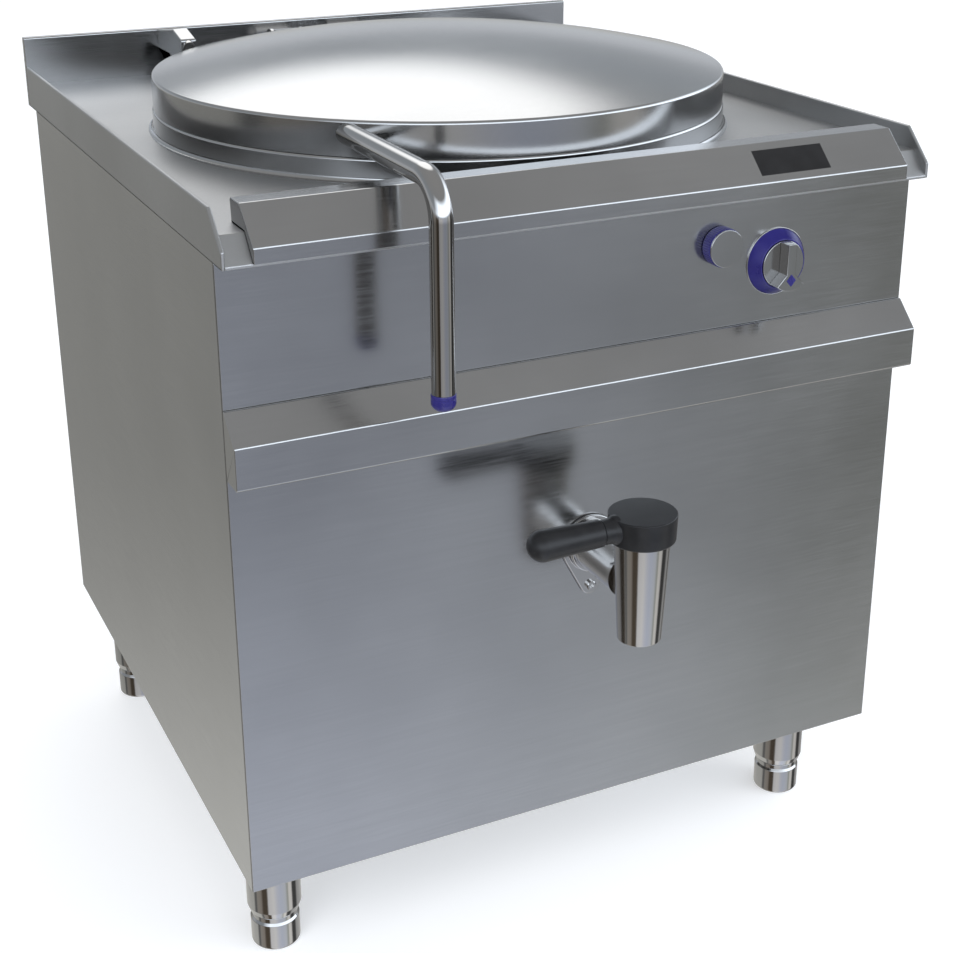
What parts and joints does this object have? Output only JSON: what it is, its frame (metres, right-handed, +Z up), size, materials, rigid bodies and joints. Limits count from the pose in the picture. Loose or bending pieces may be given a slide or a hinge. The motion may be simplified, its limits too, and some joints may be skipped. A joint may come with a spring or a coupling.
{
  "type": "steam jacketed kettle",
  "caption": "Free-standing jacketed boiling kettle: round vessel with hinged lid in a square steel cabinet on adjustable legs, with drain tap, water spout and turn knobs.",
  "frame": {"origin": "on the floor, under the middle of the whole object's box", "axes": "+Z up, front with the tap and the knobs towards -Y, +X to the right seen from the front"},
  "size_m": [0.802, 0.9713, 0.9715],
  "materials": {
    "satin_steel": "satin stainless sheet",
    "polished_steel": "polished stainless",
    "frame_steel": "galvanised",
    "blue_plastic": "glossy",
    "black_plastic": "satin",
    "black_glass": "glossy",
    "gasket_rubber": "matt",
    "lagging_wool": "matt",
    "brass": "satin",
    "board_green": "satin",
    "grey_plastic": "satin",
    "spring_steel": "satin"
  },
  "bodies": {
    "cabinet": {"frame": "frame_steel", "control_panel": "satin_steel", "lower_front_panel": "satin_steel", "drip_ledge": "satin_steel", "side_panel_left": "satin_steel", "side_panel_right": "satin_steel", "rear_panel": "satin_steel", "bottom_panel": "satin_steel", "worktop": "satin_steel", "splashback": "satin_steel", "front_hood": "satin_steel", "display_window": "black_glass", "display_board": "board_green", "inner_vessel": "satin_steel", "steam_jacket": "satin_steel", "lagging": "lagging_wool", "heating_elements": "polished_steel", "element_flange": "brass", "safety_valve": "brass", "pressure_switch": "grey_plastic", "drain_pipe": "satin_steel", "drain_strainer": "satin_steel", "tap_gasket": "gasket_rubber", "tap_flange": "polished_steel", "flange_screw": "polished_steel", "nuts": "polished_steel", "tap_body": "polished_steel", "tap_union": "polished_steel", "water_valve": "brass", "selector_ring": "blue_plastic", "selector_switch": "grey_plastic", "supply_pipe": "polished_steel", "filling_pipe": "polished_steel", "water_inlet": "brass", "water_spout": "satin_steel", "spout_nozzle": "polished_steel", "contactor": "grey_plastic", "terminal_block": "grey_plastic", "cable_gland": "grey_plastic", "balance_spring": "spring_steel", "leg_tubes": "polished_steel", "hinge_brackets": "satin_steel"},
    "lid": {"lid_shell": "satin_steel", "lid_pan": "satin_steel", "lid_handle": "polished_steel", "handle_cap": "blue_plastic", "hinge_arms": "satin_steel", "hinge_pin": "polished_steel"},
    "tap_lever": {"tap_plug": "brass", "tap_cap": "black_plastic", "tap_grip": "black_plastic"},
    "water_control": {"water_knob": "blue_plastic", "water_knob_disc": "satin_steel", "water_spindle": "brass"},
    "selector": {"selector_knob": "polished_steel", "selector_shaft": "grey_plastic"},
    "foot_fl": {"foot_front_left": "polished_steel"},
    "foot_fr": {"foot_front_right": "polished_steel"},
    "foot_rl": {"foot_rear_left": "polished_steel"},
    "foot_rr": {"foot_rear_right": "polished_steel"}
  },
  "joints": [
    {"name": "lid_hinge", "type": "hinge", "parent": "cabinet", "child": "lid", "pos_m": [0, 0.43835, 0.908], "axis": [-1, 0, 0], "range_deg": [0, 80], "stiffness_Nm_per_rad": 14, "springref_deg": 80.21, "deforming": ["balance_spring"]},
    {"name": "tap_turn", "type": "hinge", "parent": "cabinet", "child": "tap_lever", "pos_m": [0, -0.44965, 0.471], "axis": [0, 0, 1], "range_deg": [0, 90]},
    {"name": "water_knob_turn", "type": "hinge", "parent": "cabinet", "child": "water_control", "pos_m": [0.1505, -0.33965, 0.788], "axis": [0, -1, 0], "range_deg": [0, 270]},
    {"name": "selector_turn", "type": "hinge", "parent": "cabinet", "child": "selector", "pos_m": [0.225, -0.33965, 0.761], "axis": [0, 1, 0], "range_deg": [0, 270]},
    {"name": "foot_fl_screw", "type": "slide", "parent": "cabinet", "child": "foot_fl", "axis": [0, 0, -1], "range_m": [0, 0.03]},
    {"name": "foot_fr_screw", "type": "slide", "parent": "cabinet", "child": "foot_fr", "axis": [0, 0, -1], "range_m": [0, 0.03]},
    {"name": "foot_rl_screw", "type": "slide", "parent": "cabinet", "child": "foot_rl", "axis": [0, 0, -1], "range_m": [0, 0.03]},
    {"name": "foot_rr_screw", "type": "slide", "parent": "cabinet", "child": "foot_rr", "axis": [0, 0, -1], "range_m": [0, 0.03]}
  ]
}
